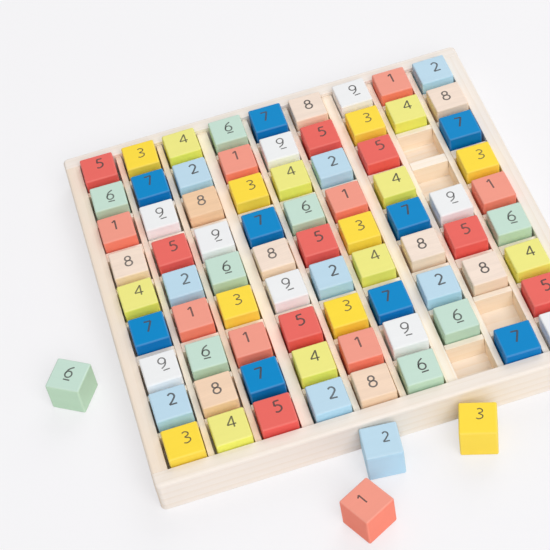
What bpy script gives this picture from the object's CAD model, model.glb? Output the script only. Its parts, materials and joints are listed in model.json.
import json
import math
import random

import bpy
from mathutils import Matrix, Vector

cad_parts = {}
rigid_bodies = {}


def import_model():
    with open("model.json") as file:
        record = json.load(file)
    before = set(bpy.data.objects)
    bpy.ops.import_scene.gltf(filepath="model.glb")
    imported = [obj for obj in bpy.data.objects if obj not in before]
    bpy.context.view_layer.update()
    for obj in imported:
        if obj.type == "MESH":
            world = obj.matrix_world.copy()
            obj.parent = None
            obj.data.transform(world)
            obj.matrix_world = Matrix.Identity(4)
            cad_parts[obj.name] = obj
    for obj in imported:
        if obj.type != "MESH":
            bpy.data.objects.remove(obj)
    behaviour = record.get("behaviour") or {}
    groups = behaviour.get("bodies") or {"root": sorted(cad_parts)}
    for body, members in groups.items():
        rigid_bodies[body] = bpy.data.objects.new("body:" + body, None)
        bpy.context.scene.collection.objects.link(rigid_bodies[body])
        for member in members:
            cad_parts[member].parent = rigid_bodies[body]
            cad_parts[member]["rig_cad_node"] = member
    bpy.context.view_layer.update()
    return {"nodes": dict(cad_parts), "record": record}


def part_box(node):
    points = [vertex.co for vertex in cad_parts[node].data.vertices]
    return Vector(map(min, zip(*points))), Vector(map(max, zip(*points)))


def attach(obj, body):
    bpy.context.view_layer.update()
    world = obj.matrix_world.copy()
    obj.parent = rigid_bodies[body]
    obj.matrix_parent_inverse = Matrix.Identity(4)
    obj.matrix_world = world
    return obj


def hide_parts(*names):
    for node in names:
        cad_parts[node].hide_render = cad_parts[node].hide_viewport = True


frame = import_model()

# Lengths below are in millimetres and this turns them into metres
MM = 0.001

# Number of each cube finish by its slot in the record, its colour on top and at the sides, and its cast
CUBES = {
    "coral_cube_wood": (1, "#F19C8A", "#F98770", "#F2937F"),
    "light_blue_cube_wood": (2, "#BCD9EA", "#B2DDF4", "#B9D9EB"),
    "yellow_cube_wood": (3, "#FCDC46", "#FADB4F", "#FCDC2B"),
    "lime_cube_wood": (4, "#EEE986", "#F0F266", "#EBE87C"),
    "red_cube_wood": (5, "#EA6B63", "#EE605A", "#E95E54"),
    "mint_cube_wood": (6, "#C5DFD1", "#BEDCC1", "#C0DBCC"),
    "blue_cube_wood": (7, "#0288C8", "#0377BF", "#027FC4"),
    "natural_cube_wood": (8, "#F3E1D3", "#F8E0C6", "#F3C79A"),
    "white_cube_wood": (9, "#EEEFF0", "#F7F9FC", "#EEEFF1"),
}


def linear(text):
    """An sRGB hex colour as the linear colour that a socket takes."""
    out = []
    for i in (1, 3, 5):
        c = int(text[i:i + 2], 16) / 255
        out.append(c / 12.92 if c <= 0.04045 else ((c + 0.055) / 1.055) ** 2.4)
    return (*out, 1.0)


def add(tree, kind, sockets=None, **settings):
    """Adds a node with its settings, and links or sets its input sockets."""
    node = tree.nodes.new(kind)
    for key, value in settings.items():
        setattr(node, key, value)
    for socket, value in (sockets or {}).items():
        if isinstance(value, bpy.types.NodeSocket):
            tree.links.new(value, node.inputs[socket])
        else:
            node.inputs[socket].default_value = value
    return node


def new_material(name):
    """An empty node material with its output and its main shader."""
    material = bpy.data.materials.new(name)
    material.use_nodes = True
    tree = material.node_tree
    tree.nodes.clear()
    shader = add(tree, "ShaderNodeBsdfPrincipled")
    add(tree, "ShaderNodeOutputMaterial", {"Surface": shader.outputs["BSDF"]})
    return material, tree, shader


def looked_at(tree):
    """1 for what the camera sees, straight or in gloss or through glass, and 0 for the light itself."""
    path = add(tree, "ShaderNodeLightPath")
    gloss = add(tree, "ShaderNodeMath", {0: path.outputs["Is Camera Ray"], 1: path.outputs["Is Glossy Ray"]},
                operation="MAXIMUM")
    seen = add(tree, "ShaderNodeMath", {0: gloss.outputs[0], 1: path.outputs["Is Transmission Ray"]},
               operation="MAXIMUM")
    return seen.outputs[0]


# Bare pine: palest and deepest early wood, growth lines, end grain, and what upright faces lean to
RAIL_PINE = ("#F0E9E3", "#F0E1D1", "#E0CCB2", "#DABE99", "#EAE2DA")
LATTICE_PINE = ("#FAF0E4", "#F7E9D8", "#F0D2A8", "#EBC692", "#FADCB0")
# Distance of the growth lines, and of a wave texture's lines at a scale of 1
GROWTH_STEP = 3.4
WAVE_STEP = 0.314


# Pine, planed and sanded: pale cream with soft tan growth lines along the grain and darker end grain
def pale_pine(name, tones, turn, pith):
    """The grain runs along X, turned by an angle; pith is the log's middle across the grain."""
    material, tree, shader = new_material(name)
    where = add(tree, "ShaderNodeTexCoord")
    tint = add(tree, "ShaderNodeAttribute", attribute_name="tint")
    log = add(tree, "ShaderNodeMapping", {"Vector": where.outputs["Object"], "Location": (0, *pith),
                                          "Rotation": (0, 0, turn), "Scale": (1 / MM, 1 / MM, 1 / MM)})
    # growth lines, drawn out along the grain
    drawn = add(tree, "ShaderNodeMapping", {"Vector": log.outputs["Vector"], "Scale": (0.05, 1, 1)})
    rings = add(tree, "ShaderNodeTexWave", {"Vector": drawn.outputs["Vector"],
                                            "Scale": WAVE_STEP / GROWTH_STEP, "Distortion": 3.0,
                                            "Detail": 2.0, "Detail Scale": 0.5},
                wave_type="RINGS", rings_direction="X", wave_profile="SAW")
    late = add(tree, "ShaderNodeMath", {0: rings.outputs["Fac"], 1: 3.0}, operation="POWER")
    # slow changes of tone over some 40 mm
    broad = add(tree, "ShaderNodeTexNoise", {"Vector": drawn.outputs["Vector"], "Scale": 0.025,
                                             "Detail": 2.0})
    strength = add(tree, "ShaderNodeMapRange", {"Value": broad.outputs["Fac"], "From Min": 0.35,
                                                "From Max": 0.65, "To Min": 0.05, "To Max": 0.4})
    line = add(tree, "ShaderNodeMath", {0: late.outputs[0], 1: strength.outputs[0]}, operation="MULTIPLY")
    # fibres 0.5 mm wide and some 12 mm long
    fine = add(tree, "ShaderNodeMapping", {"Vector": log.outputs["Vector"], "Scale": (0.08, 2, 2)})
    fibres = add(tree, "ShaderNodeTexNoise", {"Vector": fine.outputs["Vector"], "Scale": 1.0, "Detail": 3.0,
                                              "Roughness": 0.6})
    streak = add(tree, "ShaderNodeMapRange", {"Value": fibres.outputs["Fac"], "From Min": 0.45,
                                              "From Max": 0.8, "To Min": 0.0, "To Max": 0.2})
    cream = add(tree, "ShaderNodeMix", {0: tint.outputs["Fac"], 6: linear(tones[0]), 7: linear(tones[1])},
                data_type="RGBA")
    facing = add(tree, "ShaderNodeMapping", {"Vector": where.outputs["Normal"], "Rotation": (0, 0, turn)},
                 vector_type="NORMAL")
    split = add(tree, "ShaderNodeSeparateXYZ", {0: facing.outputs["Vector"]})
    # upright faces are sawn and not sanded
    upright = add(tree, "ShaderNodeMapRange", {"Value": split.outputs["Z"], "From Min": 0.9, "From Max": 0.3,
                                               "To Min": 0.0, "To Max": 0.35})
    sawn = add(tree, "ShaderNodeMix", {0: upright.outputs[0], 6: cream.outputs[2], 7: linear(tones[4])},
               data_type="RGBA")
    lined = add(tree, "ShaderNodeMix", {0: line.outputs[0], 6: sawn.outputs[2], 7: linear(tones[2])},
                data_type="RGBA")
    streaked = add(tree, "ShaderNodeMix", {0: streak.outputs[0], 6: lined.outputs[2], 7: linear(tones[2])},
                   data_type="RGBA")
    # end grain: faces that look along the grain
    along = add(tree, "ShaderNodeMath", {0: split.outputs["X"]}, operation="ABSOLUTE")
    end = add(tree, "ShaderNodeMapRange", {"Value": along.outputs[0], "From Min": 0.6, "From Max": 0.95,
                                           "To Min": 0.0, "To Max": 0.45})
    ended = add(tree, "ShaderNodeMix", {0: end.outputs[0], 6: streaked.outputs[2], 7: linear(tones[3])},
                data_type="RGBA")
    rough = add(tree, "ShaderNodeMapRange", {"Value": fibres.outputs["Fac"], "To Min": 0.5, "To Max": 0.72})
    bump = add(tree, "ShaderNodeBump", {"Strength": 0.2, "Distance": 0.05 * MM,
                                        "Height": fibres.outputs["Fac"]})
    tree.links.new(ended.outputs[2], shader.inputs["Base Color"])
    tree.links.new(rough.outputs[0], shader.inputs["Roughness"])
    tree.links.new(bump.outputs[0], shader.inputs["Normal"])
    shader.inputs["IOR"].default_value = 1.5
    shader.inputs["Specular IOR Level"].default_value = 0.35
    return material


# Wood that shows where paint is rubbed, and how much of it shows on a cube's edges
RUBBED_WOOD = "#FBEFE2"
RUB_SHARE = 0.05


# Maple cube under thin satin paint: even colour, the fine grain just showing, edges rubbed a little paler
def painted_maple(name, top, side, cast, sway, grain):
    """Each cube leans to the cast by its tint, at most by sway; grain is how much the grain shows."""
    material, tree, shader = new_material(name)
    place = add(tree, "ShaderNodeAttribute", attribute_name="grain_place")
    tint = add(tree, "ShaderNodeAttribute", attribute_name="tint")
    rub = add(tree, "ShaderNodeAttribute", attribute_name="rub")
    # fibres 0.4 mm wide and 8 mm long
    fine = add(tree, "ShaderNodeMapping", {"Vector": place.outputs["Vector"],
                                           "Scale": (0.12 / MM, 2.4 / MM, 2.4 / MM)})
    fibres = add(tree, "ShaderNodeTexNoise", {"Vector": fine.outputs["Vector"], "Scale": 1.0, "Detail": 3.0,
                                              "Roughness": 0.65})
    # soft growth bands 4 mm apart
    bands = add(tree, "ShaderNodeMapping", {"Vector": place.outputs["Vector"],
                                            "Scale": (0.03 / MM, 0.25 / MM, 0.25 / MM)})
    growth = add(tree, "ShaderNodeTexNoise", {"Vector": bands.outputs["Vector"], "Scale": 1.0,
                                              "Detail": 2.0})
    mixed = add(tree, "ShaderNodeMath", {0: fibres.outputs["Fac"], 1: growth.outputs["Fac"]},
                operation="ADD")
    depth = add(tree, "ShaderNodeMapRange", {"Value": mixed.outputs[0], "From Min": 0.7, "From Max": 1.3,
                                             "To Min": 1.0 - grain, "To Max": 1.0 + grain * 0.6})
    # the printed top is a shade paler than the sides
    where = add(tree, "ShaderNodeTexCoord")
    split = add(tree, "ShaderNodeSeparateXYZ", {0: where.outputs["Normal"]})
    upward = add(tree, "ShaderNodeMapRange", {"Value": split.outputs["Z"], "From Min": 0.4, "From Max": 0.9})
    paint = add(tree, "ShaderNodeMix", {0: upward.outputs[0], 6: linear(side), 7: linear(top)},
                data_type="RGBA")
    # most cubes keep near the plain colour and a few lean far
    rare = add(tree, "ShaderNodeMath", {0: tint.outputs["Fac"], 1: 2.5}, operation="POWER")
    lean = add(tree, "ShaderNodeMath", {0: rare.outputs[0], 1: sway}, operation="MULTIPLY")
    swayed = add(tree, "ShaderNodeMix", {0: lean.outputs[0], 6: paint.outputs[2], 7: linear(cast)},
                 data_type="RGBA")
    toned = add(tree, "ShaderNodeVectorMath", {0: swayed.outputs[2], 3: depth.outputs[0]}, operation="SCALE")
    worn = add(tree, "ShaderNodeMath", {0: rub.outputs["Fac"], 1: RUB_SHARE}, operation="MULTIPLY")
    edged = add(tree, "ShaderNodeMix", {0: worn.outputs[0], 6: toned.outputs[0], 7: linear(RUBBED_WOOD)},
                data_type="RGBA")
    rough = add(tree, "ShaderNodeMapRange", {"Value": fibres.outputs["Fac"], "To Min": 0.48, "To Max": 0.6})
    bump = add(tree, "ShaderNodeBump", {"Strength": 0.08, "Distance": 0.03 * MM,
                                        "Height": fibres.outputs["Fac"]})
    tree.links.new(edged.outputs[2], shader.inputs["Base Color"])
    tree.links.new(rough.outputs[0], shader.inputs["Roughness"])
    tree.links.new(bump.outputs[0], shader.inputs["Normal"])
    shader.inputs["IOR"].default_value = 1.48
    shader.inputs["Specular IOR Level"].default_value = 0.12
    return material


# Ink where it lies thick and where it lies thin
INK_TONES = ("#2B2827", "#423E3D")


# Pad-printed ink: a thin brown-black film, a little uneven, with some of the paint under it showing through
def printed_ink(name):
    """The ink of all the numbers."""
    material, tree, shader = new_material(name)
    where = add(tree, "ShaderNodeTexCoord")
    blotch = add(tree, "ShaderNodeTexNoise", {"Vector": where.outputs["Object"], "Scale": 1.2 / MM,
                                              "Detail": 2.0})
    ink = add(tree, "ShaderNodeMix", {0: blotch.outputs["Fac"], 6: linear(INK_TONES[0]),
                                      7: linear(INK_TONES[1])}, data_type="RGBA")
    rough = add(tree, "ShaderNodeMapRange", {"Value": blotch.outputs["Fac"], "To Min": 0.5, "To Max": 0.7})
    faint = add(tree, "ShaderNodeAttribute", attribute_name="faint")
    ground = add(tree, "ShaderNodeAttribute", attribute_name="ground")
    printed = add(tree, "ShaderNodeMix", {0: faint.outputs["Fac"], 6: ink.outputs[2],
                                          7: ground.outputs["Vector"]}, data_type="RGBA")
    tree.links.new(printed.outputs[2], shader.inputs["Base Color"])
    tree.links.new(rough.outputs[0], shader.inputs["Roughness"])
    return material


# Tones of the paper, and the even white that the camera sees in a share of it
PAPER_TONES = ("#F1F1F3", "#F3F2F4")
PAPER_GLOW = "#F8F7F9"
GLOW_SHARE = 0.6


# Matt backdrop paper: near white, a shade cool
def matt_paper(name):
    """The paper under the board."""
    material, tree, shader = new_material(name)
    where = add(tree, "ShaderNodeTexCoord")
    tooth = add(tree, "ShaderNodeTexNoise", {"Vector": where.outputs["Object"], "Scale": 0.01 / MM,
                                             "Detail": 2.0})
    paper = add(tree, "ShaderNodeMix", {0: tooth.outputs["Fac"], 6: linear(PAPER_TONES[0]),
                                        7: linear(PAPER_TONES[1])}, data_type="RGBA")
    tree.links.new(paper.outputs[2], shader.inputs["Base Color"])
    shader.inputs["Roughness"].default_value = 0.9
    shader.inputs["Specular IOR Level"].default_value = 0.1
    # the even white keeps the backdrop pale and its shadows soft
    glow = add(tree, "ShaderNodeEmission", {"Color": linear(PAPER_GLOW), "Strength": 1.0})
    share = add(tree, "ShaderNodeMath", {0: looked_at(tree), 1: GLOW_SHARE}, operation="MULTIPLY")
    both = add(tree, "ShaderNodeMixShader", {0: share.outputs[0], 1: shader.outputs[0], 2: glow.outputs[0]})
    tree.links.new(both.outputs[0], tree.nodes["Material Output"].inputs["Surface"])
    return material


def select_only(*objects):
    """Object mode, with only these objects selected and the first one active."""
    bpy.ops.object.select_all(action="DESELECT")
    for item in objects:
        item.select_set(True)
    bpy.context.view_layer.objects.active = objects[0]


def note(piece, name, kind, value_at):
    """Writes a value for each vertex of a piece into a named attribute."""
    attribute = piece.data.attributes.new(name, kind, "POINT")
    for item, vertex in zip(attribute.data, piece.data.vertices):
        if kind == "FLOAT":
            item.value = value_at(vertex.co)
        else:
            item.vector = value_at(vertex.co)


# Points of a CAD node that lie closer than this are one
MERGE = 0.001


def copied(node):
    """A merged copy of a CAD node, free of the node's marks."""
    select_only(frame["nodes"][node])
    bpy.ops.object.duplicate()
    copy = bpy.context.active_object
    del copy["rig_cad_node"]
    copy.data.materials.clear()
    bpy.ops.object.mode_set(mode="EDIT")
    bpy.ops.mesh.select_all(action="SELECT")
    bpy.ops.mesh.remove_doubles(threshold=MERGE * MM)
    bpy.ops.object.mode_set(mode="OBJECT")
    return copy


# Edges of a timber that turn by more than this are sharp
SHARP = math.radians(40)
# Faces that turn by less than this lie in one plane
FLAT = math.radians(1)


def eased_timber(node, material, ease, tint):
    """A tray timber with its sharp edges eased by sandpaper."""
    piece = copied(node)
    piece.name = "eased_" + node
    piece.data.name = piece.name
    bpy.ops.object.mode_set(mode="EDIT")
    bpy.ops.mesh.select_all(action="SELECT")
    bpy.ops.mesh.dissolve_limited(angle_limit=FLAT)
    bpy.ops.object.mode_set(mode="OBJECT")
    bpy.ops.object.modifier_add(type="BEVEL")
    bevel = piece.modifiers[-1]
    bevel.width = ease * MM
    bevel.segments = 2
    bevel.limit_method = "ANGLE"
    bevel.angle_limit = SHARP
    bevel.use_clamp_overlap = True
    bpy.ops.object.modifier_apply(modifier=bevel.name)
    bpy.ops.object.shade_smooth_by_angle(angle=SHARP)
    # flat faces shade flat right up to the rounding beside them
    bpy.ops.object.modifier_add(type="WEIGHTED_NORMAL")
    even = piece.modifiers[-1]
    even.keep_sharp = True
    bpy.ops.object.modifier_apply(modifier=even.name)
    note(piece, "tint", "FLOAT", lambda spot: tint)
    piece.data.materials.append(material)
    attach(piece, "tray")
    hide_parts(node)


def cube_places(node):
    """Middle and turn of each cube in a CAD node, from the back left to the front right."""
    copied(node)
    bpy.ops.object.mode_set(mode="EDIT")
    bpy.ops.mesh.select_all(action="SELECT")
    bpy.ops.mesh.separate(type="LOOSE")
    bpy.ops.object.mode_set(mode="OBJECT")
    parts = list(bpy.context.selected_objects)
    places = []
    for part in parts:
        corners = [Vector(c) for c in part.bound_box]
        middle = sum(corners, Vector()) / len(corners)
        side = max((p for p in part.data.polygons if abs(p.normal.z) < 0.01), key=lambda p: p.area)
        angle = math.atan2(side.normal.y, side.normal.x)
        quarter = math.pi / 2
        places.append((middle, (angle + quarter / 2) % quarter - quarter / 2))
    select_only(*parts)
    bpy.ops.object.delete()
    places.sort(key=lambda p: (-round(p[0].y, 3), round(p[0].x, 3)))
    return places


# Ink stands this proud of a cube, and the cube is that much smaller all round
INK_FILM = 0.03
CUBE_EDGE = (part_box("cube_r1c8")[1].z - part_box("cube_r1c8")[0].z) / MM - 2 * INK_FILM
CUBE_ROUND = 1.0
# Faces of a cube that turn by less than this shade smooth
SMOOTH = math.radians(60)


def model_cube():
    """One number cube at the origin, with rounded edges."""
    bpy.ops.object.select_all(action="DESELECT")
    bpy.ops.mesh.primitive_cube_add(size=CUBE_EDGE * MM)
    cube = bpy.context.active_object
    bpy.ops.object.mode_set(mode="EDIT")
    bpy.ops.mesh.select_all(action="SELECT")
    bpy.ops.mesh.bevel(offset=CUBE_ROUND * MM, segments=4, profile=0.5, affect="EDGES")
    bpy.ops.object.mode_set(mode="OBJECT")
    bpy.ops.object.modifier_add(type="WEIGHTED_NORMAL")
    bpy.ops.object.shade_smooth_by_angle(angle=SMOOTH)
    bpy.ops.object.modifier_apply(modifier=cube.modifiers[0].name)
    return cube


# Strokes of each number in shares of its height, from its left and its foot: a line, a bow or a ring
STROKES = {
    1: [("line", [(0.06, 0.80), (0.31, 1.0)]), ("line", [(0.31, 1.0), (0.31, 0.0)])],
    2: [("bow", [(0.05, 0.87), (0.29, 1.0), (0.53, 0.75), (0.36, 0.38), (0.03, 0.0)]),
        ("line", [(0.03, 0.0), (0.60, 0.0)])],
    3: [("bow", [(0.08, 0.93), (0.30, 1.0), (0.52, 0.77), (0.20, 0.53)]),
        ("bow", [(0.20, 0.53), (0.57, 0.27), (0.29, 0.0), (0.04, 0.07)])],
    4: [("line", [(0.48, 0.0), (0.48, 1.0)]), ("line", [(0.48, 1.0), (0.0, 0.28)]),
        ("line", [(0.0, 0.28), (0.66, 0.28)])],
    5: [("line", [(0.53, 1.0), (0.13, 1.0)]), ("line", [(0.13, 1.0), (0.10, 0.57)]),
        ("bow", [(0.10, 0.57), (0.30, 0.62), (0.56, 0.32), (0.29, 0.0), (0.04, 0.06)])],
    6: [("ring", [(0.30, 0.58), (0.03, 0.29), (0.30, 0.0), (0.57, 0.29)]),
        ("bow", [(0.51, 1.0), (0.18, 0.74), (0.03, 0.29)]), ("line", [(0.08, -0.22), (0.62, -0.22)])],
    7: [("line", [(0.04, 1.0), (0.58, 1.0)]), ("line", [(0.58, 1.0), (0.24, 0.0)])],
    8: [("ring", [(0.29, 1.0), (0.07, 0.77), (0.29, 0.54), (0.51, 0.77)]),
        ("ring", [(0.29, 0.54), (0.01, 0.27), (0.29, 0.0), (0.57, 0.27)])],
    9: [("ring", [(0.29, 1.0), (0.02, 0.71), (0.29, 0.42), (0.56, 0.71)]),
        ("bow", [(0.56, 0.71), (0.44, 0.27), (0.10, 0.0)]), ("line", [(0.16, -0.21), (0.66, -0.21)])],
}
# Where a number's print usually lies on its cube, to the right and to the back
PRINT_PLACE = {
    1: (0.0, 2.6), 2: (2.0, 1.4), 3: (1.6, 2.0), 4: (1.4, 2.4), 5: (1.4, 2.0), 6: (1.0, 1.2), 7: (-0.8, 1.8),
    8: (0.3, 1.0), 9: (1.2, 1.6),
}
NUMBER_HEIGHT = 7.2
# Middle of a number, in shares of its height
NUMBER_MIDDLE = (0.3, 0.5)
# Some numbers are printed bolder than others
STROKE_WIDTH = {1: 0.98, 2: 1.04, 3: 0.76, 4: 0.85, 5: 1.0, 6: 0.9, 7: 1.12, 8: 0.98, 9: 0.8}


def model_number(number):
    """The printed strokes of a number, lying flat with its middle at the origin."""
    bpy.ops.object.select_all(action="DESELECT")
    bpy.ops.curve.primitive_bezier_curve_add()
    drawn = bpy.context.active_object
    curve = drawn.data
    curve.splines.clear()
    for kind, points in STROKES[number]:
        spline = curve.splines.new("BEZIER")
        spline.bezier_points.add(len(points) - 1)
        spline.use_cyclic_u = kind == "ring"
        for knot, (x, y) in zip(spline.bezier_points, points):
            right = (x - NUMBER_MIDDLE[0]) * NUMBER_HEIGHT * MM
            back = (y - NUMBER_MIDDLE[1]) * NUMBER_HEIGHT * MM
            knot.co = (right, back, 0)
            knot.handle_left_type = "VECTOR" if kind == "line" else "AUTO"
            knot.handle_right_type = knot.handle_left_type
    curve.resolution_u = 6
    curve.bevel_depth = STROKE_WIDTH[number] / 2 * MM
    curve.bevel_resolution = 1
    curve.use_fill_caps = True
    bpy.ops.object.convert(target="MESH")
    drawn.data.transform(Matrix.Diagonal((1, 1, INK_FILM / STROKE_WIDTH[number] * 2, 1)))
    return drawn


def copy_of(master):
    """A copy of an object with its own mesh."""
    made = master.copy()
    made.data = master.data.copy()
    bpy.context.collection.objects.link(made)
    return made


def rubbed(spot):
    """1 on the rounded edges of a cube at the origin and 0 inside its faces."""
    # the corners of the faces, where the rounding starts, stay plain
    flat = (CUBE_EDGE / 2 - CUBE_ROUND * 0.98) * MM
    return 1.0 if sorted(abs(c) for c in spot)[1] > flat else 0.0


def joined(parts, name, material, body):
    """One piece from several objects, riding on a body."""
    select_only(*parts)
    if len(parts) > 1:
        bpy.ops.object.join()
    piece = bpy.context.active_object
    piece.name = name
    piece.data.name = name
    piece.data.materials.clear()
    piece.data.materials.append(material)
    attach(piece, body)
    return piece


# How far each bare cube leans to tan, from the back left to the front right
TAN = {"number_8_cubes": (0.3, 1.0, 0.45, 0.4, 0.2, 0.85, 0.75), "cube_r2c9": (0.4,), "cube_r7c8": (0.25,)}
# Cubes that are printed smaller than the others, and by how much
SMALL_PRINT = {"loose_cube_1": 0.85, "loose_cube_2": 0.82, "loose_cube_3": 0.9}
# How far a print strays to the sides and to the back and front, and by how many degrees it leans
STRAY_ASIDE = 0.9
STRAY_BACK = 0.8
PRINT_LEAN = 4
# Least and most of the paint that shows through a print
FAINT = (0.06, 0.16)
# Metres over which the cubes' places in the grain are spread
GRAIN_SPREAD = 4


def cube_set(node, slot, paint, ink, master, numbers, chance):
    """The cubes of a CAD node in their paint, and their printed numbers."""
    number, top = CUBES[slot][:2]
    ground = linear(top)[:3]
    small = SMALL_PRINT.get(node, 1.0)
    cubes = []
    prints = []
    for middle, turn in cube_places(node):
        stand = Matrix.Translation(middle) @ Matrix.Rotation(turn, 4, "Z")
        cube = copy_of(master)
        shift = Vector([chance.uniform(0, GRAIN_SPREAD) for _ in range(3)])
        tint = TAN[node][len(cubes)] if node in TAN else chance.random()
        note(cube, "grain_place", "FLOAT_VECTOR", lambda spot: spot + shift)
        note(cube, "tint", "FLOAT", lambda spot: tint)
        note(cube, "rub", "FLOAT", rubbed)
        cube.data.transform(stand)
        cubes.append(cube)
        right, back = PRINT_PLACE[number]
        right += chance.uniform(-STRAY_ASIDE, STRAY_ASIDE)
        back += chance.uniform(-STRAY_BACK, STRAY_BACK)
        aside = Vector((right, back, CUBE_EDGE / 2))
        lean = Matrix.Rotation(math.radians(chance.uniform(-PRINT_LEAN, PRINT_LEAN)), 4, "Z")
        faint = chance.uniform(*FAINT)
        mark = copy_of(numbers[number])
        note(mark, "faint", "FLOAT", lambda spot: faint)
        note(mark, "ground", "FLOAT_VECTOR", lambda spot: ground)
        shrink = Matrix.Diagonal((small, small, 1, 1))
        mark.data.transform(stand @ Matrix.Translation(aside * MM) @ lean @ shrink)
        prints.append(mark)
    painted = joined(cubes, "painted_" + node, paint, node)
    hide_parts(node)
    joined(prints, "print_on_" + node, ink, node)


# A fixed seed, so that the board comes out the same each time
chance = random.Random(9)

# Tray: how far edges are eased, the slats in each direction, and how deep each plain timber's tone is
RAIL_EASE = 0.25
SLAT_EASE = 0.3
SLATS = 8
RAIL_TINTS = {"front": 0.35, "back": 0.15, "left": 0.95, "right": 0.2}
PANEL_TINT = 0.4
# Middle of the log that the timbers were sawn from, across the grain
ROW_PITH = (38, 61)
COLUMN_PITH = (47, 55)
quarter = math.radians(90)
rail_along_x = pale_pine("planed_pine_rail_along_rows", RAIL_PINE, 0, ROW_PITH)
rail_along_y = pale_pine("planed_pine_rail_along_columns", RAIL_PINE, quarter, COLUMN_PITH)
slat_along_x = pale_pine("sanded_pine_slat_along_rows", LATTICE_PINE, 0, ROW_PITH)
slat_along_y = pale_pine("sanded_pine_slat_along_columns", LATTICE_PINE, quarter, COLUMN_PITH)
for side, tint in RAIL_TINTS.items():
    pine = rail_along_x if side in ("front", "back") else rail_along_y
    eased_timber(side + "_rail", pine, RAIL_EASE, tint)
for i in range(1, SLATS + 1):
    eased_timber(f"row_divider_{i}", slat_along_x, SLAT_EASE, chance.random())
    eased_timber(f"column_divider_{i}", slat_along_y, SLAT_EASE, chance.random())
eased_timber("base_panel", slat_along_x, SLAT_EASE, PANEL_TINT)

# Number cubes: how far colours sway and how much the grain shows, on bare and on painted cubes
BARE_NUMBER = 8
BARE = (0.8, 0.06)
PAINTED = (0.3, 0.015)
master_cube = model_cube()
master_numbers = {n: model_number(n) for n in STROKES}
ink = printed_ink("printed_brown_black_ink")
paints = {}
for slot, (number, top, side, cast) in CUBES.items():
    sway, grain = BARE if number == BARE_NUMBER else PAINTED
    paints[slot] = painted_maple(slot.replace("cube_wood", "painted_maple"), top, side, cast, sway, grain)
for subpart in frame["record"]["subparts"]:
    slot = subpart["material_slot"]
    if slot in CUBES:
        cube_set(subpart["node"], slot, paints[slot], ink, master_cube, master_numbers, chance)
select_only(master_cube, *master_numbers.values())
bpy.ops.object.delete()

# Floor, lying just under the board
FLOOR_SIZE = 8000
FLOOR_DROP = 0.1
bpy.ops.mesh.primitive_plane_add(size=FLOOR_SIZE * MM, location=(0, 0, -FLOOR_DROP * MM))
floor = bpy.context.active_object
floor.name = "floor"
floor.data.materials.append(matt_paper("backdrop_paper"))

# Camera, with its roll in degrees and its focal length in millimetres
CAMERA_PLACE = Vector((-104.0, -633.7, 756.8)) * MM
CAMERA_AIM = Vector((-26.21, 7.34, 0.0)) * MM
CAMERA_ROLL = -11.52
FOCAL_LENGTH = 113.08
SENSOR_WIDTH = 36
bpy.ops.object.camera_add(location=CAMERA_PLACE)
camera = bpy.context.active_object
camera.rotation_mode = "QUATERNION"
gaze = (CAMERA_AIM - CAMERA_PLACE).to_track_quat("-Z", "Y")
camera.rotation_quaternion = gaze @ Matrix.Rotation(math.radians(CAMERA_ROLL), 3, "Z").to_quaternion()
camera.data.lens = FOCAL_LENGTH
camera.data.sensor_width = SENSOR_WIDTH
bpy.context.scene.camera = camera

# Light: the strength of the room as light, and as the camera sees it
ROOM_LIGHT = 0.345
ROOM_SEEN = 0.88
world = bpy.data.worlds.new("studio")
bpy.context.scene.world = world
world.use_nodes = True
sky = world.node_tree
sky.nodes.clear()
# the room lights softly, and is pale where the camera looks past the paper
level = add(sky, "ShaderNodeMapRange", {"Value": looked_at(sky), "To Min": ROOM_LIGHT, "To Max": ROOM_SEEN})
back = add(sky, "ShaderNodeBackground", {"Color": (1, 1, 1, 1), "Strength": level.outputs[0]})
add(sky, "ShaderNodeOutputWorld", {"Surface": back.outputs[0]})


def soft_box(name, place, size, power):
    """A square soft box that looks at the middle of the board."""
    bpy.ops.object.light_add(type="AREA", location=Vector(place) * MM)
    lamp = bpy.context.active_object
    lamp.name = name
    lamp.data.shape = "SQUARE"
    lamp.data.size = size * MM
    lamp.data.energy = power
    lamp.rotation_mode = "QUATERNION"
    lamp.rotation_quaternion = (-Vector(place)).to_track_quat("-Z", "Y")


soft_box("window_back_right", (1000, 1500, 1600), 1600, 18)
soft_box("window_front", (420, -2500, 2850), 3000, 111)

bpy.context.scene.view_settings.view_transform = "Standard"
